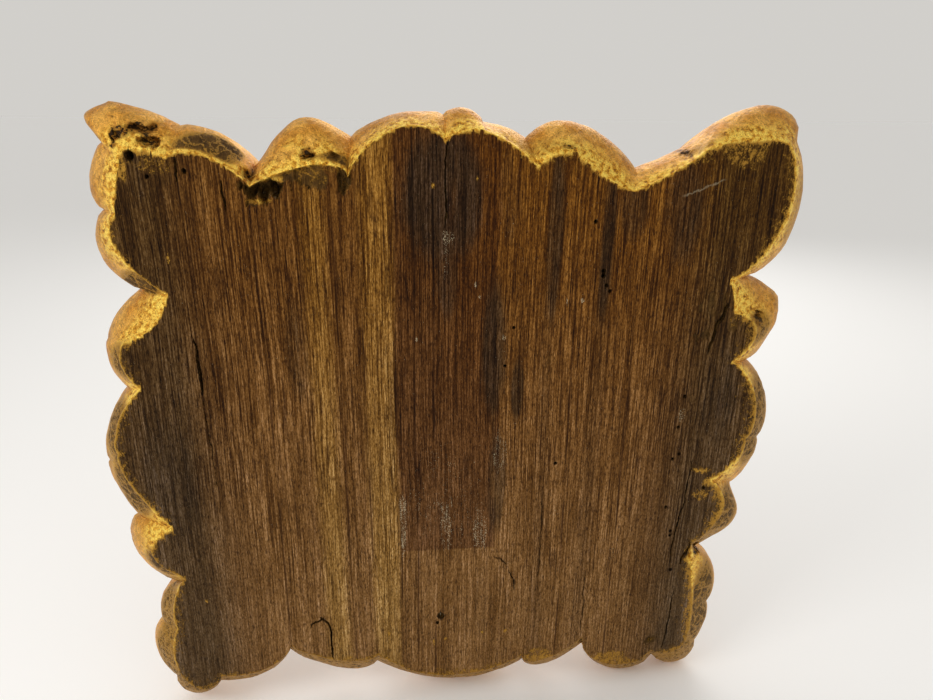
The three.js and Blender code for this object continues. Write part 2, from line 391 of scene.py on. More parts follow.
def carveLeaves(columns):
    rows = smoothRows(leaves["rows"], leaves["rowSteps"])
    wayOut = np.clip(rows[:, 0], 0, 1)[:, None, None]
    wayIn = np.clip(rows[:, 1], 0, 1)[:, None, None]
    crown, low, groove = (rows[:, index][:, None] for index in (2, 3, 4))
    share, across, isLarge = columns["share"], columns["across"], columns["isLarge"]

    vein = (1 - wayIn) ** 2 * columns["rim"]
    vein = vein + 2 * wayIn * (1 - wayIn) * columns["bend"] + wayIn**2 * columns["foot"]
    flat = columns["back"] * (1 - wayOut) + vein * wayOut

    rise = isLarge * (1 - np.abs(across) ** leaves["edgeCrispness"])
    finger = np.sin(np.pi * share) ** leaves["fingerRoundness"]
    onLeaf = wayIn[:, :, 0]
    rib = isLarge * np.maximum(0, 1 - np.abs(across) / leaves["ribHalfWidth"])
    height = low + (crown - low) * rise - groove * (1 - finger)
    height = height + leaves["ribHeight"] * rib * np.sin(np.pi * onLeaf)
    fade = np.sin(np.pi * np.clip(onLeaf / leaves["veinsEndAt"], 0, 1)) ** 0.5
    for place, width, depth in leaves["veins"]:
        height = height - depth * fade * (1 - rib) * np.exp(-(((share - place) / width) ** 2))

    places = np.stack([flat[..., 0], -height, flat[..., 1]], axis=-1).reshape(-1, 3)
    depth = -places[:, 1]
    moved = roughen(places, 1)
    moved[:, 1] = places[:, 1] + (moved[:, 1] - places[:, 1]) * smoothStep(0, leaves["flatEdge"], depth)

    pit = smoothStep(*pits["to"], depth) * smoothStep(*pits["from"], depth)
    pit = pit * inSpots(moved[:, ::2], pits["places"], pits["raggedness"], seeds["pitEdge"])
    grain = roughNoise(moved, pits["size"], seeds["pits"], 2)
    moved[:, 1] -= pit * pits["depth"] * smoothStep(*pits["sides"], grain)
    # Pits and the grooves between the fingers are darker: dirt and painted shade
    broad, narrow, power = leaves["grooveDirtAndShade"]
    recess = np.broadcast_to(1 - broad * finger - narrow * finger**power, height.shape).reshape(-1)
    return moved, np.maximum(pits["dirtAndShade"] * pit, recess * smoothStep(*leaves["dirtAndShadeFrom"], depth))


def carveFlower():
    count = flower["columns"]
    start = math.radians(leaves["firstLeafAngle"] - leaves["largeHalfSpan"])
    angle = start + 2 * np.pi * np.arange(count) / count
    petal = flower["petalCount"] * (angle - math.radians(leaves["firstLeafAngle"])) / 2
    swell = np.abs(np.sin(petal)) ** flower["petalRoundness"]
    rows = smoothRows(flower["rows"], flower["rowSteps"])
    reachShare, extra, height, groove = (rows[:, index][:, None] for index in range(4))
    reach = flower["petalReach"] - flower["petalNotch"] * (1 - swell)
    radius = np.maximum(reachShare, 0) * reach + extra
    height = height - groove * (1 - swell)

    onPetal = np.clip(reachShare, 0, 1)
    veins = (1 + np.cos(2 * petal * (flower["petalVeins"] + 1))) / 2
    veins = flower["petalVeinDepth"] * veins ** flower["petalVeinSharpness"]
    height = height - veins * swell * smoothStep(*flower["petalVeinsFrom"], onPetal)
    onBoss = smoothStep(*flower["seedsFrom"], radius) * smoothStep(*flower["seedsTo"], radius)
    onBoss = onBoss * (reachShare < flower["bossShare"])
    turn = flower["seedRows"] * angle
    tilt = radius / flower["seedTurn"]
    height = height + flower["seedHeight"] * onBoss * np.sin(turn + tilt) * np.sin(turn - tilt)

    flat = onCircle(radius, np.broadcast_to(angle, radius.shape))
    places = np.stack([flat[..., 0], -height, flat[..., 1]], axis=-1).reshape(-1, 3)
    # Darker between the petals, at the seam round the boss and where the flower meets the leaves: dirt and
    # painted shade
    recess = (1 - swell**0.5) * smoothStep(*flower["petalDirtAndShadeFrom"], onPetal)
    seamRadius, seamWidth = flower["bossSeam"]
    seam = np.exp(-(((radius - seamRadius) / seamWidth) ** 2)) + smoothStep(*flower["outerSeam"], radius)
    dirtAndShade = np.clip(recess + flower["seamDirtAndShade"] * seam, 0, 1).reshape(-1)
    return roughen(places, flower["unevenness"]), dirtAndShade, angle


# Triangles between rings of the same size, one inside the other
def ringFaces(ringCount, size, first):
    outer = first + np.arange(ringCount - 1)[:, None] * size + np.arange(size)
    outerNext = first + np.arange(ringCount - 1)[:, None] * size + (np.arange(size) + 1) % size
    inner, innerNext = outer + size, outerNext + size
    halves = [(outer, outerNext, innerNext), (outer, innerNext, inner)]
    return np.concatenate([np.stack(half, axis=-1).reshape(-1, 3) for half in halves])


# Triangles between two rings of different sizes that start at the same angle
def stitchRings(outer, outerAngle, inner, innerAngle):
    outerAngle = np.append(outerAngle, outerAngle[0] + 2 * np.pi)
    innerAngle = np.append(innerAngle, innerAngle[0] + 2 * np.pi)
    faces = []
    i = j = 0
    while i < len(outer) or j < len(inner):
        outerFirst = j == len(inner) or (i < len(outer) and outerAngle[i + 1] <= innerAngle[j + 1])
        here, there = outer[i % len(outer)], inner[j % len(inner)]
        if outerFirst:
            i += 1
            faces.append((here, outer[i % len(outer)], there))
        else:
            j += 1
            faces.append((here, inner[j % len(inner)], there))
    return np.array(faces)


# The bare back: cracks, nail and worm holes, and broken or torn wood; all in mm

bareBack = {
    "gridStep": (0.95, 3.2),  # between points, across and along the grain
    "grainStretch": 3.3,  # how much longer the triangles are along the grain
    "edgeGap": 0.55,  # from the outline to the nearest point
    "waves": (26, 120, 0.3),  # width, length and depth of the unevenness of the sawn face
    "ridges": (2.6, 70, 0.2),
    "cracks": [  # points down the crack, width, depth
        ([(126.5, 70), (125.7, 57)], 0.5, 0.8),
        ([(125.8, 59), (125, 44), (124.6, 30)], 1.5, 5),
        ([(124.7, 33), (124, 10), (123.2, -22)], 0.45, 1.2),
        ([(-139.5, -20), (-138, -40), (-135.5, -60), (-133.5, -78), (-133, -90)], 0.7, 3),
        ([(-138.5, -111), (-138, -122), (-137, -141), (-135.5, -153)], 0.7, 3),
        ([(80, -118.5), (73.4, -115.4), (69.6, -118.5), (68.4, -127), (68.6, -140), (68, -143.5)], 1.2, 4),
        ([(-140, -87), (-144, -79)], 1.4, 5),
        ([(-147, 72), (-144.5, 64), (-142, 58), (-140.5, 48)], 1.8, 4),
        ([(1.3, 153), (1, 130), (0.8, 112)], 0.7, 2),
        ([(123.6, 146), (123.4, 137)], 1.1, 3),
        ([(104, 134), (103.4, 124)], 0.9, 3),
        ([(-53.5, -38), (-54, -74), (-53.5, -104)], 0.5, 1.2),
        ([(-82, -92), (-82.5, -115), (-82, -140)], 0.6, 1.5),
        ([(-27.5, -78), (-31, -80), (-34, -83.5)], 0.9, 1.6),
        ([(-36, -89), (-39, -94), (-40, -101)], 0.8, 1.6),
    ],
    "crackStep": 1.6,
    "crackWander": 0.8,
    "crackSmoothing": 5,  # points that the wander is averaged over
    "crackRows": (-1.5, -1, -0.45, 0, 0.45, 1, 1.5),  # rows of points beside a crack, in half widths
    "crackRoom": (1.5, 0.3),  # half widths, and more, that the grid keeps away
    "crackTaper": (0.35, 0.65, 0.03),  # width of the ends, what the middle adds, share left off each end
    "crackUnevenness": (6, 0.3),  # size of the noise, and share of the width
    "crackSides": (1.05, 0.1),  # half widths, at the lip and at the floor
    "crackDirtAndShade": (1.7, 0.5),  # half widths, where the dirt and painted shade in a crack start and are full
    "crackDarkness": (0.45, 6),  # of the shallowest crack, and the depth that adds 1; deeper cracks are painted darker, as shade
    "holes": [  # place, radius, depth
        (4, -118, 1.95, 2.4),
        (6, -123, 1, 2.5),
        (142.8, 147.2, 1.9, 9),
        (136.5, 138, 0.9, 4),
        (120, 140.5, 1, 4),
        (-73, 116, 0.9, 4),
        (-128.5, 1.5, 0.9, 4),
        (-131, -15.4, 0.9, 4),
        (-127.5, -18.5, 0.8, 4),
        (-148, -38, 1, 4),
        (-127, -50, 0.9, 4),
        (-131.6, -66.5, 0.9, 4),
        (-131.6, -69.5, 0.8, 4),
        (-134.75, -94, 1, 4),
        (-130, 20, 1, 4),
        (-79, 91, 1.1, 4),
        (-79, 88.5, 1.1, 4),
        (-81, 83.5, 0.9, 3),
        (-83, 80.5, 0.8, 3),
        (-60, -18, 0.9, 3),
        (-34, 62, 0.8, 3),
        (-30, 41, 0.8, 3),
    ],
    "holeCorners": 14,
    "holeRings": (1.35, 1.04, 0.8),  # rings of points, in radii, as are the next three
    "holeRoom": 1.5,
    "holeSides": (1.03, 0.82),
    # radii where the dirt and painted shade in a hole start and are full
    "holeDirtAndShade": (1.25, 0.95),
    "broken": [  # place, half width, half height, depth
        (84.5, 131.5, 11, 4.8, 9),
        (90, 126, 5, 3, 3),
        (70, 139, 23, 7.5, 2.6),
        (49, 137, 5, 8, 4),
        (-127, -147.5, 4, 3.2, 2.5),
        (-136, 55, 5.5, 6.5, 1.6),
        (-133.5, 19, 3.5, 4.5, 1.3),
        (-139, 70, 8, 14, 1.3),
        (-54, 43.5, 2.8, 8.5, 1.1),
        (-61, 5, 3, 7, 0.9),
        (-149, -84, 4.5, 6, 2.2),
        (-152, 60, 5, 6, 1.6),
        (126, 139, 20, 6, 0.8),
        (-36, -83, 3, 2.4, 0.9),
    ],
    "brokenStep": (0.85, 1.1),  # between points, across and up
    "brokenRoom": 1.15,  # half widths
    "brokenEdge": ((2.6, 1, 5), 0.42),  # size and strength of the noise
    "splinters": ((1.6, 1, 5), 0.75, 0.35),  # size of the noise, plain share of the depth, and its strength
    "brokenDirtAndShade": (1.5, 5),  # depth where the dirt and painted shade of the broken wood start, and how much deeper they are full
    "gridJitter": 0.2,  # of a step
    "closest": 0.4,  # between points
    "joinWithin": 1e-5,
    "flatEdge": 3,  # along the outline
}


# Points down each crack, closer together where it runs across the grain
def crackLines():
    rng = np.random.default_rng(seeds["crackWander"])
    for points, width, depth in bareBack["cracks"]:
        points = np.array(points, float)
        pieces = np.diff(points, axis=0) * (bareBack["grainStretch"], 1)
        length = np.append(0, np.cumsum(np.linalg.norm(pieces, axis=1)))
        along = np.linspace(0, length[-1], int(length[-1] / bareBack["crackStep"]) + 2)
        line = np.stack([np.interp(along, length, points[:, axis]) for axis in (0, 1)], axis=-1)
        count = bareBack["crackSmoothing"]
        wander = rng.normal(size=len(line) + count - 1)
        wander = np.convolve(wander, np.ones(count) / count, "valid")
        line[:, 0] += bareBack["crackWander"] * wander
        yield line, width / 2, depth


def pickBackPoints(outline):
    stepX, stepZ = bareBack["gridStep"]
    low, high = outline.min(axis=0), outline.max(axis=0)
    across, up = np.meshgrid(np.arange(low[0], high[0], stepX), np.arange(low[1], high[1], stepZ))
    across[1::2] += stepX / 2
    grid = np.column_stack([across.ravel(), up.ravel()])
    jitter = bareBack["gridJitter"]
    rng = np.random.default_rng(seeds["grid"])
    grid += rng.uniform(-jitter, jitter, grid.shape) * (stepX, stepZ)
    keep = isInside(grid, outline)
    grid = grid[keep]

    near, busy = [], np.zeros(len(grid), bool)
    for line, half, _ in crackLines():
        side = np.gradient(line, axis=0)[:, ::-1] * (1, -1)
        side /= np.linalg.norm(side, axis=1)[:, None]
        for offset in bareBack["crackRows"]:
            near.append(line + side * half * offset)
        room, more = bareBack["crackRoom"]
        busy |= awayFromLine(grid, line)[0] < half * room + more
    for x, z, radius, _ in bareBack["holes"]:
        corners = bareBack["holeCorners"]
        turn = np.arange(corners) * 2 * np.pi / corners
        for ring in bareBack["holeRings"]:
            near.append(np.array([x, z]) + onCircle(np.full(corners, radius * ring), turn))
        near.append(np.array([[x, z]]))
        busy |= np.linalg.norm(grid - (x, z), axis=1) < radius * bareBack["holeRoom"]
    for x, z, halfWidth, halfHeight, _ in bareBack["broken"]:
        fineX, fineZ = bareBack["brokenStep"]
        room = bareBack["brokenRoom"]
        patchX = np.arange(-room, room, fineX / halfWidth)
        patch = np.meshgrid(patchX, np.arange(-room, room, fineZ / halfHeight))
        patch = np.column_stack([patch[0].ravel(), patch[1].ravel()])
        patch = patch[np.hypot(patch[:, 0], patch[:, 1]) < room] * (halfWidth, halfHeight) + (x, z)
        near.append(patch)
        busy |= np.hypot((grid[:, 0] - x) / halfWidth, (grid[:, 1] - z) / halfHeight) < room

    near = np.vstack(near)
    near = near[isInside(near, outline)]
    apart = np.unique(np.round(near / bareBack["closest"]), axis=0, return_index=True)[1]
    points = np.vstack([near[np.sort(apart)], grid[~busy]])
    closed = np.vstack([outline, outline[:1]])
    inward = awayFromLine(points, closed)[0]
    keep = inward > bareBack["edgeGap"]
    return points[keep], inward[keep]


def sinkBack(points, inward):
    solid = np.column_stack([points[:, 0], np.zeros(len(points)), points[:, 1]])
    width, length, depth = bareBack["waves"]
    sunk = depth * (0.5 + 0.5 * smoothNoise(solid, (width, 1, length), seeds["waves"]))
    width, length, depth = bareBack["ridges"]
    sunk += depth * (0.5 + 0.5 * roughNoise(solid, (width, 1, length), seeds["ridges"], 2))
    sunk *= smoothStep(0, bareBack["flatEdge"], inward)
    # Cracks, holes and deep broken wood are painted darker, more so where deeper: dirt and painted shade
    dark = np.zeros(len(points))
    ends, swell, leftOff = bareBack["crackTaper"]
    size, amount = bareBack["crackUnevenness"]
    uneven = 1 + amount * smoothNoise(solid, size, seeds["crackWidth"])
    shallowest, deepening = bareBack["crackDarkness"]
    for line, half, depth in crackLines():
        away, share = awayFromLine(points, line)
        share = np.clip(share, leftOff, 1 - leftOff)
        half = half * (ends + swell * np.sin(np.pi * share) ** 0.5) * uneven
        sunk = np.maximum(sunk, depth * smoothStep(*bareBack["crackSides"], away / half))
        darkness = min(1, shallowest + depth / deepening)
        dark = np.maximum(dark, smoothStep(*bareBack["crackDirtAndShade"], away / half) * darkness)
    for x, z, radius, depth in bareBack["holes"]:
        away = np.linalg.norm(points - (x, z), axis=1) / radius
        sunk = np.maximum(sunk, depth * smoothStep(*bareBack["holeSides"], away))
        dark = np.maximum(dark, smoothStep(*bareBack["holeDirtAndShade"], away))
    size, amount = bareBack["brokenEdge"]
    ragged = amount * roughNoise(solid, size, seeds["brokenEdge"])
    size, sure, amount = bareBack["splinters"]
    splinters = sure + amount * roughNoise(solid, size, seeds["splinters"])
    dirtAndShadeFrom, dirtAndShadeOver = bareBack["brokenDirtAndShade"]
    for x, z, halfWidth, halfHeight, depth in bareBack["broken"]:
        away = np.hypot((points[:, 0] - x) / halfWidth, (points[:, 1] - z) / halfHeight) + ragged
        deep = smoothStep(1, ovalCore, away)
        sunk = np.maximum(sunk, depth * deep * splinters)
        dark = np.maximum(dark, deep * np.clip((depth - dirtAndShadeFrom) / dirtAndShadeOver, 0, 1))
    return sunk, dark


def makeBack(outline, firstNew):
    points, inward = pickBackPoints(outline)
    stretch = np.array([bareBack["grainStretch"], 1])
    flat = [Vector(point) for point in np.vstack([outline, points]) * stretch]
    ring = [(index, (index + 1) % len(outline)) for index in range(len(outline))]
    keepInside = 1  # leaves out the triangles outside the ring
    made = delaunay_2d_cdt(flat, ring, [], keepInside, bareBack["joinWithin"])
    faces, origins = made[2], made[3]
    sources = [origin[0] if origin else -1 for origin in origins]
    places = [source if source < len(outline) else source - len(outline) + firstNew for source in sources]
    faces = np.array([[places[corner] for corner in face[::-1]] for face in faces if len(face) == 3])
    faces = faces[(faces >= 0).all(axis=1)]
    sunk, dark = sinkBack(points, inward)
    return np.column_stack([points[:, 0], -sunk, points[:, 1]]), faces, inward, dark


# Where the gold, the wear and the marks are, in mm; x grows to the left as seen from behind.
# A spot is its place, half width, half height and strength.

finishMarks = {
    "goldReach": 0.45,  # mm that the gold runs over the back's edge
    "goldSpread": [  # a dusting of gold further in
        (163, 105, 24, 44, 0.44),
        (163, 48, 24, 30, 0.42),
        (170, 5, 24, 50, 0.46),
        (162, -45, 24, 30, 0.46),
        (160, -105, 26, 54, 0.46),
        (-168, 122, 30, 46, 0.5),
        (-165, 56, 26, 30, 0.56),
        (-168, 5, 24, 46, 0.56),
        (-156, -48, 22, 28, 0.7),
        (-152, -110, 26, 62, 0.62),
        (-56, -162, 20, 20, 0.66),
        (-102, -168, 28, 22, 0.7),
        (-148, -164, 24, 20, 0.66),
        (-20, -166, 62, 20, 0.5),
        (60, -152, 60, 20, 0.42),
        (144, -155, 34, 34, 0.42),
        (148, 146, 22, 18, 0.46),
        (-70, 146, 54, 14, 0.42),
        (-130, 150, 36, 12, 0.6),
        (62, 146, 30, 12, 0.46),
    ],
    "spreadReach": 8,  # mm
    "goldPatches": [
        (-150, -87, 10, 8, 0.8),
        (-57, -151, 13, 8, 0.46),
        (-102, -158, 17, 8, 0.5),
        (-147, -160, 12, 7, 0.46),
        (-146, 150, 17, 15, 0.44),
        (139, 151, 9, 5, 0.7),
        (147, 142, 3.5, 10, 0.55),
        (-173, 112, 5, 22, 0.55),
        (-145, -26, 9, 3, 0.62),
        (-151, -34, 5, 4, 0.66),
        (-147, -43, 8, 5, 0.5),
        (7, 134, 1.4, 3, 0.6),
        (-14, 137, 1.2, 3, 0.6),
        (132, 100, 1.5, 3, 0.6),
        (137, -97, 1.6, 3, 0.6),
        (35, -128, 1.8, 3, 0.6),
        (8, -137, 2.5, 3, 0.55),
        (1, -136, 1.8, 2.5, 0.55),
        (-21, -132, 1.6, 3, 0.65),
        (-35, -132, 1.6, 3, 0.65),
        (88, 126.5, 9, 2.4, 0.66),
        (82, 136.5, 9, 2.6, 0.8),
        (118, 87, 3, 1.6, 0.62),
        (132, 143, 16, 7, 0.34),
    ],
    "worn": [  # bare patches of the gilded edge
        (108, 150, 23, 10, 0.92),
        (55, 143, 13, 7, 0.88),
        (-160, -124, 16, 44, 0.64),
        (146, 88, 17, 9, 0.72),
        (158, 48, 14, 15, 0.58),
        (168, 8, 15, 28, 0.58),
        (166, -22, 15, 30, 0.62),
        (154, -69, 18, 15, 0.74),
        (150, -150, 22, 26, 0.55),
        (160, -104, 15, 36, 0.52),
        (-166, 58, 14, 14, 0.5),
        (-164, -56, 16, 22, 0.64),
        (-174, 2, 14, 44, 0.58),
        (-178, 118, 9, 34, 0.3),
        (-130, 151, 16, 6, 0.35),
        (-100, -165, 46, 14, 0.45),
        (-45, 150, 30, 7, 0.3),
        (30, -160, 60, 16, 0.5),
        (-30, -166, 50, 16, 0.5),
        (110, -150, 36, 16, 0.4),
        (163, -140, 15, 32, 0.52),
    ],
    "downwardWearAndShade": 0.5,  # of the parts of the edge that face down, which are left barer and darker: wear and painted shade
    "facesDown": (0.3, 0.9),  # downward share of the edge's lean, where that wear starts and is full
    "wearFrom": (-1.3, 1),  # mm from the back, where the wear starts and is full
    "wearTo": (16, 8),  # where it ends, and up to where it is full
    "lipAbove": 110,  # mm up, from where a lip of gold is left along the edge of the back
    "lipWidth": 1.3,
    "pale": [
        # the first is a painted glint: a pale speck in the nail hole at (4, -118)
        (4, -118, 1.5, 1.5, 2.4),
        (0, 109, 5, 6, 0.6),
        (0.5, 96, 3, 14, 0.42),
        (3, -38, 34, 50, 0.33),
        (-18.5, -58, 7, 25, 0.52),
        (25, -54, 3.4, 34, 0.58),
        (1, -57, 5.5, 27, 0.53),
        (-28.5, -10, 6, 20, 0.5),
        (-61, 76, 1.1, 2, 1),
        (-69, 76, 1, 2.6, 1),
        (-14, 86, 1.2, 2, 0.9),
        (-16, 78, 1.2, 2, 0.9),
        (-29, 57, 1.2, 2, 0.9),
        (16, 56, 1, 2, 0.9),
        (-130, 9, 5, 8, 0.45),
        (-62, -50, 3, 12, 0.4),
        (-97, -80, 3, 10, 0.42),
        (84, 129, 8, 3, 0.4),
    ],
    "scratch": ((-115, 127.5), (-138, 136.5)),  # a pale scratch, from and to
    "stained": [  # soft dark patches, drawn out along the grain
        (-24, 50, 9, 52, 0.9),
        (-37, 28, 5, 26, 0.9),
        (-27, -30, 8, 48, 0.7),
        (2, 128, 28, 46, 0.95),
        (0, 90, 8, 34, 0.6),
        (-53, 110, 6, 66, 0.75),
        (-80, 108, 5, 62, 0.8),
        (-92, 124, 12, 26, 0.7),
        (-118, 120, 14, 40, 0.6),
        (-30, 128, 10, 30, 0.5),
        (76, 52, 9, 40, 0.5),
        (134, 140, 24, 18, 0.3),
        (146, -20, 20, 60, 0.6),
        (-150, 20, 14, 50, 0.5),
        (-136, -140, 10, 22, 0.5),
        (-20, -110, 5, 40, 0.35),
        (30, 40, 4, 110, 0.35),
    ],
}


def markFinish(back, backInward, edge, columns):
    places = back[:, ::2]
    dusting = inSpots(places, finishMarks["goldSpread"]) * np.exp(-backInward / finishMarks["spreadReach"])
    rim = np.exp(-backInward / finishMarks["goldReach"])
    patches = inSpots(places, finishMarks["goldPatches"])
    # Edge faces that face down are left barer and darker: wear and painted shade
    lean = columns["rim"] - columns["back"]
    down = smoothStep(*finishMarks["facesDown"], -lean[:, 1] / np.linalg.norm(lean, axis=1))
    down = np.resize(down, len(edge)) * finishMarks["downwardWearAndShade"]
    depth = -edge[:, 1]
    lip = np.where(edge[:, 2] > finishMarks["lipAbove"], finishMarks["lipWidth"], 0)
    worn = inSpots(edge[:, ::2], finishMarks["worn"]) * smoothStep(*finishMarks["wearFrom"], depth - lip)
    worn = np.maximum(down, worn) * smoothStep(*finishMarks["wearTo"], depth)
    none = np.zeros(len(edge))
    return {
        "gold": np.append(1 - worn, np.maximum(np.maximum(rim, patches), dusting)),
        "pale": np.append(none, inSpots(places, finishMarks["pale"])),
        "stain": np.append(none, inSpots(places, finishMarks["stained"])),
    }


creaseAngle = 48  # degrees, from where an edge is drawn sharp


def makeRosette(material):
    columns = layOutColumns()
    size = len(columns["share"])
    leafPlaces, leafDirtAndShade = carveLeaves(columns)
    flowerPlaces, flowerDirtAndShade, flowerAngle = carveFlower()
    leafRings = len(leafPlaces) // size
    flowerSize = flower["columns"]
    flowerRings = len(flowerPlaces) // flowerSize
    leafFoot = np.arange(size) + (leafRings - 1) * size
    flowerStart = len(leafPlaces)
    flowerRim = flowerStart + np.arange(flowerSize)
    bossRing = flowerStart + (flowerRings - 1) * flowerSize + np.arange(flowerSize)
    centre = flowerStart + len(flowerPlaces)
    top = np.array([[0, -flower["height"], 0]])
    front = np.vstack([leafPlaces, flowerPlaces, top])

    outline = leafPlaces[:size, ::2]
    back, backFaces, backInward, backDirtAndShade = makeBack(outline, len(front))
    faces = np.vstack([
        ringFaces(leafRings, size, 0),
        stitchRings(leafFoot, columns["angle"], flowerRim, flowerAngle),
        ringFaces(flowerRings, flowerSize, flowerStart),
        np.column_stack([bossRing, np.roll(bossRing, -1), np.full(flowerSize, centre)]),
        backFaces,
    ])
    places = np.vstack([front, back])

    mesh = bpy.data.meshes.new("carvedRosette")
    mesh.from_pydata((places * mm).tolist(), [], faces.tolist())
    mesh.shade_smooth()
    mesh.set_sharp_from_angle(angle=math.radians(creaseAngle))
    marks = markFinish(back, backInward, front, columns)
    # Dirt and painted shade in hollows, grooves, seams, pits, cracks and holes
    marks["dirtAndShade"] = np.concatenate([leafDirtAndShade, flowerDirtAndShade, [0], backDirtAndShade])
    for name, values in marks.items():
        attribute = mesh.attributes.new(name, "FLOAT", "POINT")
        attribute.data.foreach_set("value", values.astype(np.float32))
    mesh.materials.append(material)
    rosette = bpy.data.objects.new("carvedRosette", mesh)
    bpy.context.scene.collection.objects.link(rosette)
    print("rosette:", len(places), "points,", len(faces), "triangles")
    return rosette


# Short ways to make shader nodes


def addNode(tree, kind, sockets, **settings):
    node = tree.nodes.new("ShaderNode" + kind)
    for name, value in settings.items():
        setattr(node, name, value)
    for place, value in sockets.items():
        if isinstance(value, bpy.types.NodeSocket):
            tree.links.new(value, node.inputs[place])
        else:
            node.inputs[place].default_value = value
    return node


def calc(tree, operation, *values):
    return addNode(tree, "Math", dict(enumerate(values)), operation=operation).outputs[0]


def times(tree, product, *factors):
    for factor in factors:
        product = calc(tree, "MULTIPLY", product, factor)
    return product


def calcPlaces(tree, operation, *values):
    return addNode(tree, "VectorMath", dict(enumerate(values)), operation=operation).outputs


# A value that eases from one number to another while the first value goes from low to high
def ease(tree, value, low, high, start=0.0, end=1.0):
    sockets = {"Value": value, "From Min": low, "From Max": high, "To Min": start, "To Max": end}
    return addNode(tree, "MapRange", sockets, interpolation_type="SMOOTHSTEP").outputs[0]


# A colour from its eight-bit screen values, by the usual sRGB curve
def paint(red, green, blue):
    screen = [value / 255 for value in (red, green, blue)]
    linear = [v / 12.92 if v <= 0.04045 else ((v + 0.055) / 1.055) ** 2.4 for v in screen]
    return (*linear, 1)


# Sockets 6 and 7 of a Mix node are its two colours
def blend(tree, share, first, second, mode="MIX"):
    sockets = {0: share, 6: first, 7: second}
    return addNode(tree, "Mix", sockets, data_type="RGBA", blend_type=mode).outputs[2]


# Noise with spots of a size given in mm along x, y and z
def spots(tree, places, size, detail=2.0, roughness=0.5, shift=0.0):
    sockets = {"Vector": places, "Scale": [1 / length for length in size], "Location": [shift] * 3}
    stretched = addNode(tree, "Mapping", sockets).outputs[0]
    sockets = {"Vector": stretched, "Scale": 1.0, "Detail": detail, "Roughness": roughness}
    return addNode(tree, "TexNoise", sockets).outputs[0]


# Noise and easing with the values that a dictionary keeps under a name
def namedNodes(tree, values):
    def noise(name, places):
        return spots(tree, places, *values["noise"][name])

    def eased(name, value):
        return ease(tree, value, *values["ranges"][name])

    return noise, eased


# A value made and spread over the surface by the mesh
def marked(tree, name):
    return addNode(tree, "Attribute", {}, attribute_name=name).outputs["Fac"]


def tinted(tree, colour, shade):
    grey = addNode(tree, "CombineXYZ", {0: shade, 1: shade, 2: shade}).outputs[0]
    return blend(tree, 1, colour, grey, "MULTIPLY")


# The brown wood of the back

wood = {
    "tones": {
        "edge": paint(72, 51, 27),
        "shade": paint(89, 59, 27),
        "plain": paint(103, 69, 32),
        "light": paint(122, 86, 38),
    },
    "bands": [  # mm across the back, tone
        (-170, "edge"),
        (-138, "edge"),
        (-118, "shade"),
        (-100, "plain"),
        (-86, "plain"),
        (-80, "shade"),
        (-72, "plain"),
        (-58, "plain"),
        (-53, "shade"),
        (-46, "plain"),
        (26, "plain"),
        (29, "light"),
        (40, "light"),
        (45, "plain"),
        (56, "plain"),
        (61, "light"),
        (67, "light"),
        (73, "plain"),
        (100, "plain"),
        (118, "shade"),
        (136, "edge"),
        (160, "edge"),
    ],
    "rampWidth": 360,  # mm across that the bands are laid over
    "darkLines": (7, 17, 26.5, 42.5, 55, -66, -98, 92),  # mm across
    "topTint": (1.07, 0.95, 0.56, 1),  # at the upper edge, its right side, and the lower edge
    "topRightTint": (1.04, 0.84, 0.28, 1),
    "bottomTint": (1.62, 1.83, 2.3, 1),
    "stripStain": (26, -24, -71),  # left, right and lower edge in mm
    "stripSoftness": (1, 4, 0.8),  # mm, of the same edges
    "stripWander": (20, -14),  # mm that the right edge wanders, and its shift
    "stripStrength": 0.85,
    "stainTint": (0.54, 0.46, 0.46, 1),
    "sootColour": paint(50, 38, 24),
    "wispShare": 0.5,
    "poreTint": (0.34, 0.28, 0.24, 1),
    "poreStrength": 0.7,
    # near-black in cracks, holes and hollows: dirt and painted shade
    "hollowDirtAndShadeColour": paint(16, 10, 6),
    "paleColour": paint(196, 180, 146),
    "wander": 5,  # mm
    "greenRise": 1.2,  # how much faster than red the green and the blue rise with brightness
    "blueRise": 1.75,
    "calmRise": -1 / 400,  # for each mm up, so the grain is calmer lower down
    "relief": (0.45, 0.45, -0.4),  # of lines, fibres and pores
    "noise": {  # size of the spots in mm along x, y and z, detail, roughness, shift
        "bend": ((70, 70, 160), 1),
        "strip": ((5, 5, 60), 3),
        "wisps": ((2.2, 2.2, 22), 2, 0.6, 57),
        "clouds": ((6, 6, 50), 4, 0.6, 53),
        "streaks": ((7, 7, 190), 3, 0.6, 5),
        "blotches": ((24, 24, 50), 3, 0.6, 31),
        "lines": ((1.0, 3, 78), 2, 0.6, 11),
        "cuts": ((1.4, 4, 34), 2, 0.5, 47),
        "fibres": ((0.55, 1, 11), 2, 0.65, 23),
        "grit": ((0.6, 0.6, 1.5), 2, 0.7, 27),
        "calm": ((26, 26, 60), 2, 0.5, 37),
        "breaks": ((9, 9, 60), 2, 0.6, 83),
        "pores": ((0.7, 2, 4), 1, 0.5, 41),
    },
    "ranges": {  # value from and to, and what it becomes: 0 to 1 if left out
        "height": (-150, 150),
        "leftSide": (-15, 15),
        "soot": (0.9, 1.75, 0, 0.75),
        "streaks": (0.32, 0.68, 0.8, 1.18),
        "blotches": (0.3, 0.7, 0.86, 1.1),
        "lines": (0.32, 0.64, 0.42, 1.43),
        "cuts": (0.55, 0.63),
        "fibres": (0.3, 0.7, 0.5, 1.5),
        "calm": (0.4, 0.85, 0, 0.45),
        "grit": (0.3, 0.7, 0.62, 1.35),
        "darkLine": (0.75, 0.15),
        "breaks": (0.38, 0.56),
        "pores": (0.6, 0.67),
        "roughness": (0.3, 0.7, 0.5, 0.68),
    },
}


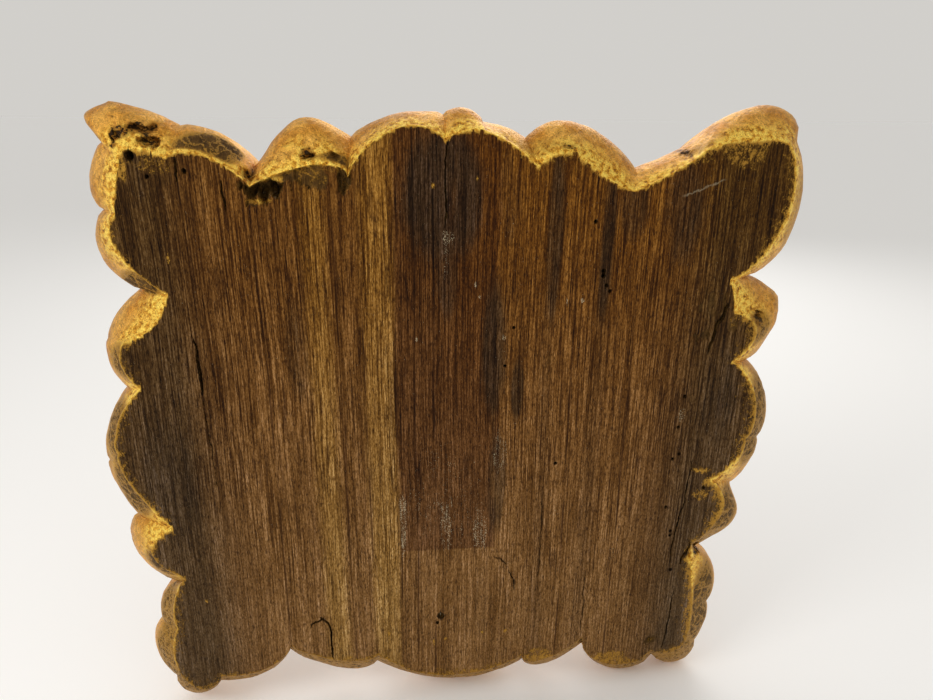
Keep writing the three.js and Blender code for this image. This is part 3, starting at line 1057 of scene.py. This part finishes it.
# Wood is redder where it is darker and paler where it is lighter
def grained(tree, colour, shade):
    green = calc(tree, "POWER", shade, wood["greenRise"])
    blue = calc(tree, "POWER", shade, wood["blueRise"])
    tint = addNode(tree, "CombineXYZ", {0: shade, 1: green, 2: blue}).outputs[0]
    return blend(tree, 1, colour, tint, "MULTIPLY")


def makeWood(tree, places):
    noise, eased = namedNodes(tree, wood)
    bend = calc(tree, "SUBTRACT", noise("bend", places), midway)
    shift = addNode(tree, "CombineXYZ", {0: times(tree, bend, wood["wander"])}).outputs[0]
    grain = calcPlaces(tree, "ADD", places, shift)[0]
    xyz = addNode(tree, "SeparateXYZ", {0: grain}).outputs
    across, up = xyz[0], xyz[2]

    along = calc(tree, "MULTIPLY_ADD", across, 1 / wood["rampWidth"], midway)
    ramp = addNode(tree, "ValToRGB", {0: along})
    stops = ramp.color_ramp.elements
    for index, (x, tone) in enumerate(wood["bands"]):
        stop = stops[index] if index < 2 else stops.new(1)  # a new ramp has two stops
        stop.position = x / wood["rampWidth"] + midway
        stop.color = wood["tones"][tone]
    topTint = blend(tree, eased("leftSide", across), wood["topRightTint"], wood["topTint"])
    tint = blend(tree, eased("height", up), wood["bottomTint"], topTint)
    colour = blend(tree, 1, ramp.outputs[0], tint, "MULTIPLY")

    # A long dark stain with a crisp lower end and a ragged right side
    left, right, lower = wood["stripStain"]
    softLeft, softRight, softLower = wood["stripSoftness"]
    wander, shift = wood["stripWander"]
    ragged = calc(tree, "MULTIPLY_ADD", noise("strip", grain), wander, right + shift)
    aboveEnd = ease(tree, up, lower - softLower, lower + softLower)
    rightOfLeft = ease(tree, across, left + softLeft, left - softLeft)
    leftOfRight = ease(tree, calc(tree, "SUBTRACT", across, ragged), 0, softRight)
    inside = times(tree, aboveEnd, rightOfLeft, leftOfRight, wood["stripStrength"])
    colour = blend(tree, inside, colour, wood["stainTint"], "MULTIPLY")

    # Dark patches with ends drawn out along the grain
    clouds = calc(tree, "ADD", noise("clouds", grain), marked(tree, "stain"))
    soot = calc(tree, "MULTIPLY_ADD", noise("wisps", grain), wood["wispShare"], clouds)
    colour = blend(tree, eased("soot", soot), colour, wood["sootColour"])

    # Streaks, growth lines, fibres and grit, each finer than the one before, and fainter lower down
    lines, fibres = noise("lines", grain), noise("fibres", grain)
    colour = grained(tree, colour, eased("streaks", noise("streaks", grain)))
    plain = grained(tree, colour, eased("blotches", noise("blotches", places)))
    colour = grained(tree, plain, eased("lines", lines))
    colour = grained(tree, colour, eased("fibres", fibres))
    cuts = times(tree, eased("cuts", noise("cuts", grain)), wood["poreStrength"])
    colour = blend(tree, cuts, colour, wood["poreTint"], "MULTIPLY")
    calm = calc(tree, "MULTIPLY_ADD", up, wood["calmRise"], noise("calm", grain))
    colour = blend(tree, eased("calm", calm), colour, plain)
    colour = grained(tree, colour, eased("grit", noise("grit", places)))

    # A few long dark lines, and open pores
    drawn = 0.0
    for x in wood["darkLines"]:
        away = calc(tree, "ABSOLUTE", calc(tree, "SUBTRACT", across, float(x)))
        drawn = calc(tree, "MAXIMUM", drawn, eased("darkLine", away))
    drawn = times(tree, drawn, eased("breaks", noise("breaks", grain)))
    pores = times(tree, eased("pores", noise("pores", grain)), wood["poreStrength"])
    pores = calc(tree, "MAXIMUM", pores, drawn)
    colour = blend(tree, pores, colour, wood["poreTint"], "MULTIPLY")

    lineHeight, fibreHeight, poreHeight = wood["relief"]
    relief = calc(tree, "MULTIPLY_ADD", lines, lineHeight, times(tree, fibres, fibreHeight))
    relief = calc(tree, "MULTIPLY_ADD", pores, poreHeight, relief)
    return colour, relief, eased("roughness", fibres)


# Worn gold leaf: bright and broken beside the back, with painted highlights, warmer and smoother further in

gilding = {
    "brightGold": paint(210, 149, 46),
    # pale flecks on the crinkled leaf: painted highlights
    "paleGoldHighlight": paint(255, 215, 98),
    "warmGold": paint(202, 140, 54),
    "tanGold": paint(226, 170, 80),
    "brownGold": paint(124, 78, 28),
    "thinGold": paint(188, 140, 56),  # dabs of gold on the bare back
    "washColour": paint(142, 100, 34),  # ochre round them
    "bareColour": paint(112, 82, 38),  # the edge where the leaf has gone
    "fleckColour": paint(50, 33, 16),
    # near-black in pits and grooves: dirt and painted shade
    "recessDirtAndShadeColour": paint(26, 16, 8),
    "metal": 0.85,
    "cloudReach": 14,  # mm that the border between bright and warm gold wanders
    "relief": (1.8, 0.5, -0.6),  # of crinkles, grit and recesses
    "noise": {
        "crinkle": ((2.4, 2.4, 2.4), 4, 0.62, 3),
        "grit": ((0.6, 0.6, 0.6), 2, 0.7, 13),
        "cloud": ((12, 12, 12), 3, 0.55, 17),
        "ragged": ((1.8, 1.8, 1.8), 2, 0.6, 29),
    },
    "ranges": {
        "pale": (0.4, 0.58),
        "brown": (0.42, 0.32, 0, 0.8),
        "tan": (0.4, 0.62),
        "warmShade": (0.32, 0.68, 0.78, 1.16),
        "inward": (8, 15),
        "thin": (0.9, 0.5),
        "gritShade": (0.32, 0.68, 0.8, 1.16),
        "hollows": (0.08, 0.5, 0, 0.7),
        "flecks": (0.4, 0.35),
        "fleckDepth": (14, 3, 0.15, 0.85),
        "raggedDepth": (18, 26, 2.2, 0.7),
        "recess": (0.5, 0.66),
        "recessDepth": (18, 26, 0.95, 0.86),
        "roughness": (0.3, 0.7, 0.26, 0.5),
    },
}


def makeGold(tree, places, depth, dirtAndShade, gold):
    noise, eased = namedNodes(tree, gilding)
    crinkle, grit, cloud = (noise(name, places) for name in ("crinkle", "grit", "cloud"))
    # Beside the back the leaf is crinkled, with pale flecks of painted highlight that make it brighter than
    # the warmer, smoother gold further in
    foilAndHighlight = blend(tree, eased("pale", crinkle), gilding["brightGold"], gilding["paleGoldHighlight"])
    foilAndHighlight = blend(tree, eased("brown", crinkle), foilAndHighlight, gilding["brownGold"])
    warm = blend(tree, eased("tan", cloud), gilding["warmGold"], gilding["tanGold"])
    warm = tinted(tree, warm, eased("warmShade", crinkle))
    inward = eased("inward", calc(tree, "MULTIPLY_ADD", cloud, gilding["cloudReach"], depth))
    colour = blend(tree, inward, foilAndHighlight, warm)
    colour = blend(tree, eased("thin", gold), colour, gilding["thinGold"])
    colour = tinted(tree, colour, eased("gritShade", grit))

    # Brown patina and painted shade in the hollows, dark flecks, and pits and grooves near-black with dirt
    # and painted shade
    colour = blend(tree, eased("hollows", dirtAndShade), colour, gilding["brownGold"])
    fleck = calc(tree, "MULTIPLY_ADD", grit, midway, times(tree, crinkle, midway))
    fleck = times(tree, eased("flecks", fleck), eased("fleckDepth", depth))
    colour = blend(tree, fleck, colour, gilding["fleckColour"])
    ragged = calc(tree, "SUBTRACT", noise("ragged", places), midway)
    ragged = times(tree, ragged, eased("raggedDepth", depth))
    recess = eased("recess", calc(tree, "ADD", ragged, dirtAndShade))
    recessDirtAndShade = times(tree, recess, eased("recessDepth", depth))
    colour = blend(tree, recessDirtAndShade, colour, gilding["recessDirtAndShadeColour"])

    crinkleHeight, gritHeight, recessHeight = gilding["relief"]
    relief = calc(tree, "MULTIPLY_ADD", crinkle, crinkleHeight, times(tree, grit, gritHeight))
    relief = calc(tree, "MULTIPLY_ADD", recess, recessHeight, relief)
    covered = calc(tree, "SUBTRACT", 1, calc(tree, "MAXIMUM", fleck, recess))
    metal = times(tree, covered, gilding["metal"])
    return colour, relief, eased("roughness", grit), metal


# The wood and the gold together, with what lies on them

surface = {
    "reliefHeight": 0.8,  # mm
    "woodShine": 0.07,
    "washSpread": 1.2,  # how far the noise frays the ochre, the dirt and painted shade, and the gold's border
    "dirtAndShadeSpread": 0.5,
    "borderSpread": 0.8,
    "dustSpread": 0.5,
    "scratchWander": 3,  # mm
    "scratchFade": 4,  # mm at its ends
    "flakeBend": (5, 5, 5),  # mm
    "flakesPerMm": 0.17,
    "noise": {
        "coarse": ((2.4, 2.4, 3.4), 3, 0.6, 71),
        "dabs": ((0.55, 0.55, 0.9), 2, 0.6, 77),
        "specks": ((0.5, 0.5, 0.65), 2, 0.6, 61),
        "drifts": ((2.2, 2.2, 18), 2, 0.6, 67),
    },
    "ranges": {
        "wash": (0.85, 1.35, 0, 0.58),
        "dirtAndShade": (0.42, 0.95, 0, 0.92),
        "bareShade": (0.34, 0.66, 0.55, 1.3),
        "bareWearAndShade": (0.1, 0.45, 0.5, 1),
        "bareDepth": (0.4, 1.6, 0, 0.8),
        "dust": (1.08, 1.14),
        "looseSpecks": (0.735, 0.76),
        "dustStrength": (1, 1.4, 0.6, 1),
        "scratch": (0.1, 0.7, 0.3, 0),
        "scratchBreaks": (0.3, 0.5, 0.4, 1),
        "flakes": (0.08, 0.03, 0, 0.48),
        "flakeDepth": (0.5, 2.5),
        "border": (1.18, 1.31),
        "thinGold": (0.4, 0.9, 0.68, 1),
    },
}


# A pale scratch that wavers, with faint ends
def makeScratch(tree, places, coarse, dabs, eased):
    start, end = (Vector((x, 0, z)) for x, z in finishMarks["scratch"])
    line = (end - start).normalized()
    side = Vector((line.z, 0, -line.x))
    fromStart = calcPlaces(tree, "SUBTRACT", places, start)[0]
    along = calcPlaces(tree, "DOT_PRODUCT", fromStart, line)[1]
    away = calcPlaces(tree, "DOT_PRODUCT", fromStart, side)[1]
    wander = surface["scratchWander"]
    away = calc(tree, "MULTIPLY_ADD", coarse, wander, calc(tree, "SUBTRACT", away, wander * midway))
    scratch = eased("scratch", calc(tree, "ABSOLUTE", away))
    reach, fade = (end - start).length, surface["scratchFade"]
    fadeIn = ease(tree, along, 0, fade)
    fadeOut = ease(tree, along, reach, reach - fade)
    return times(tree, scratch, fadeIn, fadeOut, eased("scratchBreaks", dabs))


def makeGildedWood():
    material = bpy.data.materials.new("gildedWood")
    material.use_nodes = True
    tree = material.node_tree
    shader = tree.nodes["Principled BSDF"]
    shader.inputs["Specular IOR Level"].default_value = surface["woodShine"]
    places = addNode(tree, "TexCoord", {}).outputs["Object"]
    places = addNode(tree, "VectorMath", {0: places, 3: 1 / mm}, operation="SCALE").outputs[0]
    depth = times(tree, addNode(tree, "SeparateXYZ", {0: places}).outputs[1], -1)
    dirtAndShade, gold, pale = (marked(tree, name) for name in ("dirtAndShade", "gold", "pale"))
    noise, eased = namedNodes(tree, surface)
    coarse, dabs, specks, drifts = (noise(name, places) for name in surface["noise"])
    woodColour, woodRelief, woodRough = makeWood(tree, places)
    goldColour, goldRelief, goldRough, goldMetal = makeGold(tree, places, depth, dirtAndShade, gold)

    # Ochre dust beside the gold, cracks, holes and hollows darkened by dirt and painted shade, and the bare
    # ground of the edge
    wash = eased("wash", calc(tree, "MULTIPLY_ADD", coarse, surface["washSpread"], gold))
    woodColour = blend(tree, wash, woodColour, gilding["washColour"])
    hollow = eased("dirtAndShade", calc(tree, "MULTIPLY_ADD", coarse, surface["dirtAndShadeSpread"], dirtAndShade))
    woodColour = blend(tree, hollow, woodColour, wood["hollowDirtAndShadeColour"])
    bare = tinted(tree, gilding["bareColour"], eased("bareShade", coarse))
    # The bare edge is darker where less gold is left, which includes the painted shade on faces that face
    # down
    bare = tinted(tree, bare, eased("bareWearAndShade", gold))
    woodColour = blend(tree, eased("bareDepth", depth), woodColour, bare)

    # Pale dust in drifts and specks, and a pale scratch
    dust = calc(tree, "MULTIPLY_ADD", drifts, surface["dustSpread"], specks)
    dust = eased("dust", calc(tree, "MULTIPLY_ADD", pale, surface["dustSpread"], dust))
    dust = calc(tree, "MAXIMUM", dust, eased("looseSpecks", specks))
    dust = times(tree, dust, eased("dustStrength", pale))
    dust = calc(tree, "MAXIMUM", dust, makeScratch(tree, places, coarse, dabs, eased))
    woodColour = blend(tree, dust, woodColour, wood["paleColour"])

    # The gold's ragged border, with thin gold lines left between the bare flakes of the edge
    spread = addNode(tree, "CombineXYZ", {0: coarse, 1: dabs, 2: coarse}).outputs[0]
    bent = calcPlaces(tree, "MULTIPLY_ADD", spread, surface["flakeBend"], places)[0]
    cells = {"Vector": bent, "Scale": surface["flakesPerMm"]}
    cells = addNode(tree, "TexVoronoi", cells, feature="DISTANCE_TO_EDGE").outputs[0]
    flakes = times(tree, eased("flakes", cells), eased("flakeDepth", depth))
    border = calc(tree, "ADD", calc(tree, "MULTIPLY_ADD", coarse, surface["borderSpread"], gold), flakes)
    border = calc(tree, "MULTIPLY_ADD", dabs, surface["borderSpread"], border)
    isGold = times(tree, eased("border", border), eased("thinGold", gold))

    rough = addNode(tree, "Mix", {0: isGold, 2: woodRough, 3: goldRough}).outputs[0]
    relief = addNode(tree, "Mix", {0: isGold, 2: woodRelief, 3: goldRelief}).outputs[0]
    bump = {"Height": relief, "Distance": surface["reliefHeight"] * mm}
    results = {
        "Base Color": blend(tree, isGold, woodColour, goldColour),
        "Metallic": times(tree, isGold, goldMetal),
        "Roughness": rough,
        "Normal": addNode(tree, "Bump", bump).outputs[0],
    }
    for socket, value in results.items():
        tree.links.new(value, shader.inputs[socket])
    return material


# The camera, the lights and the floor

studio = {
    "cameraAt": (25.8, 339.9, 176.4),  # mm from the middle of the back
    "cameraLooksAt": (-9.7, 0, 50.5),
    "cameraRoll": 0.61,  # degrees
    "lens": 27.3,
    "nearest": 10,  # mm from the camera that still shows
    "lights": [  # name, place in mm, size in mm, watts, colour
        ("keyLight", (680, 420, 520), 380, 2.7, (1.0, 0.98, 0.95)),
        ("fillLight", (-700, 700, 300), 900, 0.5, (0.95, 0.97, 1.0)),
        ("frontLight", (-300, -1100, 700), 900, 5, (1.0, 0.98, 0.95)),
    ],
    "roomLight": (1.0, 0.975, 0.93, 1),
    "roomStrength": 0.64,
    "floorColour": paint(255, 255, 255),
    "floorHalfWidth": 9000,  # mm
    "floorRoughness": 0.7,
}


def setUpStudio(floorHeight):
    scene = bpy.context.scene
    camera = bpy.data.objects.new("camera", bpy.data.cameras.new("camera"))
    camera.data.lens = studio["lens"]
    camera.data.clip_start = studio["nearest"] * mm
    at = Vector(studio["cameraAt"]) * mm
    aim = Vector(studio["cameraLooksAt"]) * mm - at
    roll = Quaternion((0, 0, 1), math.radians(studio["cameraRoll"]))
    camera.rotation_mode = "QUATERNION"
    camera.rotation_quaternion = aim.to_track_quat("-Z", "Y") @ roll
    camera.location = at
    scene.collection.objects.link(camera)
    scene.camera = camera
    scene.view_settings.view_transform = "Standard"

    for name, place, size, watts, colour in studio["lights"]:
        lamp = bpy.data.lights.new(name, "AREA")
        lamp.size = size * mm
        lamp.energy = watts
        lamp.color = colour
        holder = bpy.data.objects.new(name, lamp)
        holder.location = Vector(place) * mm
        holder.rotation_mode = "QUATERNION"
        holder.rotation_quaternion = (-holder.location).to_track_quat("-Z", "Y")
        scene.collection.objects.link(holder)

    world = bpy.data.worlds.new("room")
    world.use_nodes = True
    room = world.node_tree.nodes["Background"]
    room.inputs["Color"].default_value = studio["roomLight"]
    room.inputs["Strength"].default_value = studio["roomStrength"]
    scene.world = world

    half = studio["floorHalfWidth"] * mm
    corners = [(x * half, y * half, floorHeight) for x, y in ((-1, -1), (1, -1), (1, 1), (-1, 1))]
    mesh = bpy.data.meshes.new("floor")
    mesh.from_pydata(corners, [], [(0, 1, 2, 3)])
    paper = bpy.data.materials.new("paleFloor")
    paper.use_nodes = True
    shader = paper.node_tree.nodes["Principled BSDF"]
    shader.inputs["Base Color"].default_value = studio["floorColour"]
    shader.inputs["Roughness"].default_value = studio["floorRoughness"]
    mesh.materials.append(paper)
    floor = bpy.data.objects.new("floor", mesh)
    scene.collection.objects.link(floor)


material = makeGildedWood()
print("material: gilded wood")
rosette = makeRosette(material)
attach(rosette, "root")
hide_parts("rosette")
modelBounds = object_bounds()
setUpStudio(modelBounds[0].z)
print("studio: camera, lights and floor")
sizes = {"solids": solidBounds, "model": modelBounds}
{name: [list(corner) for corner in corners] for name, corners in sizes.items()}
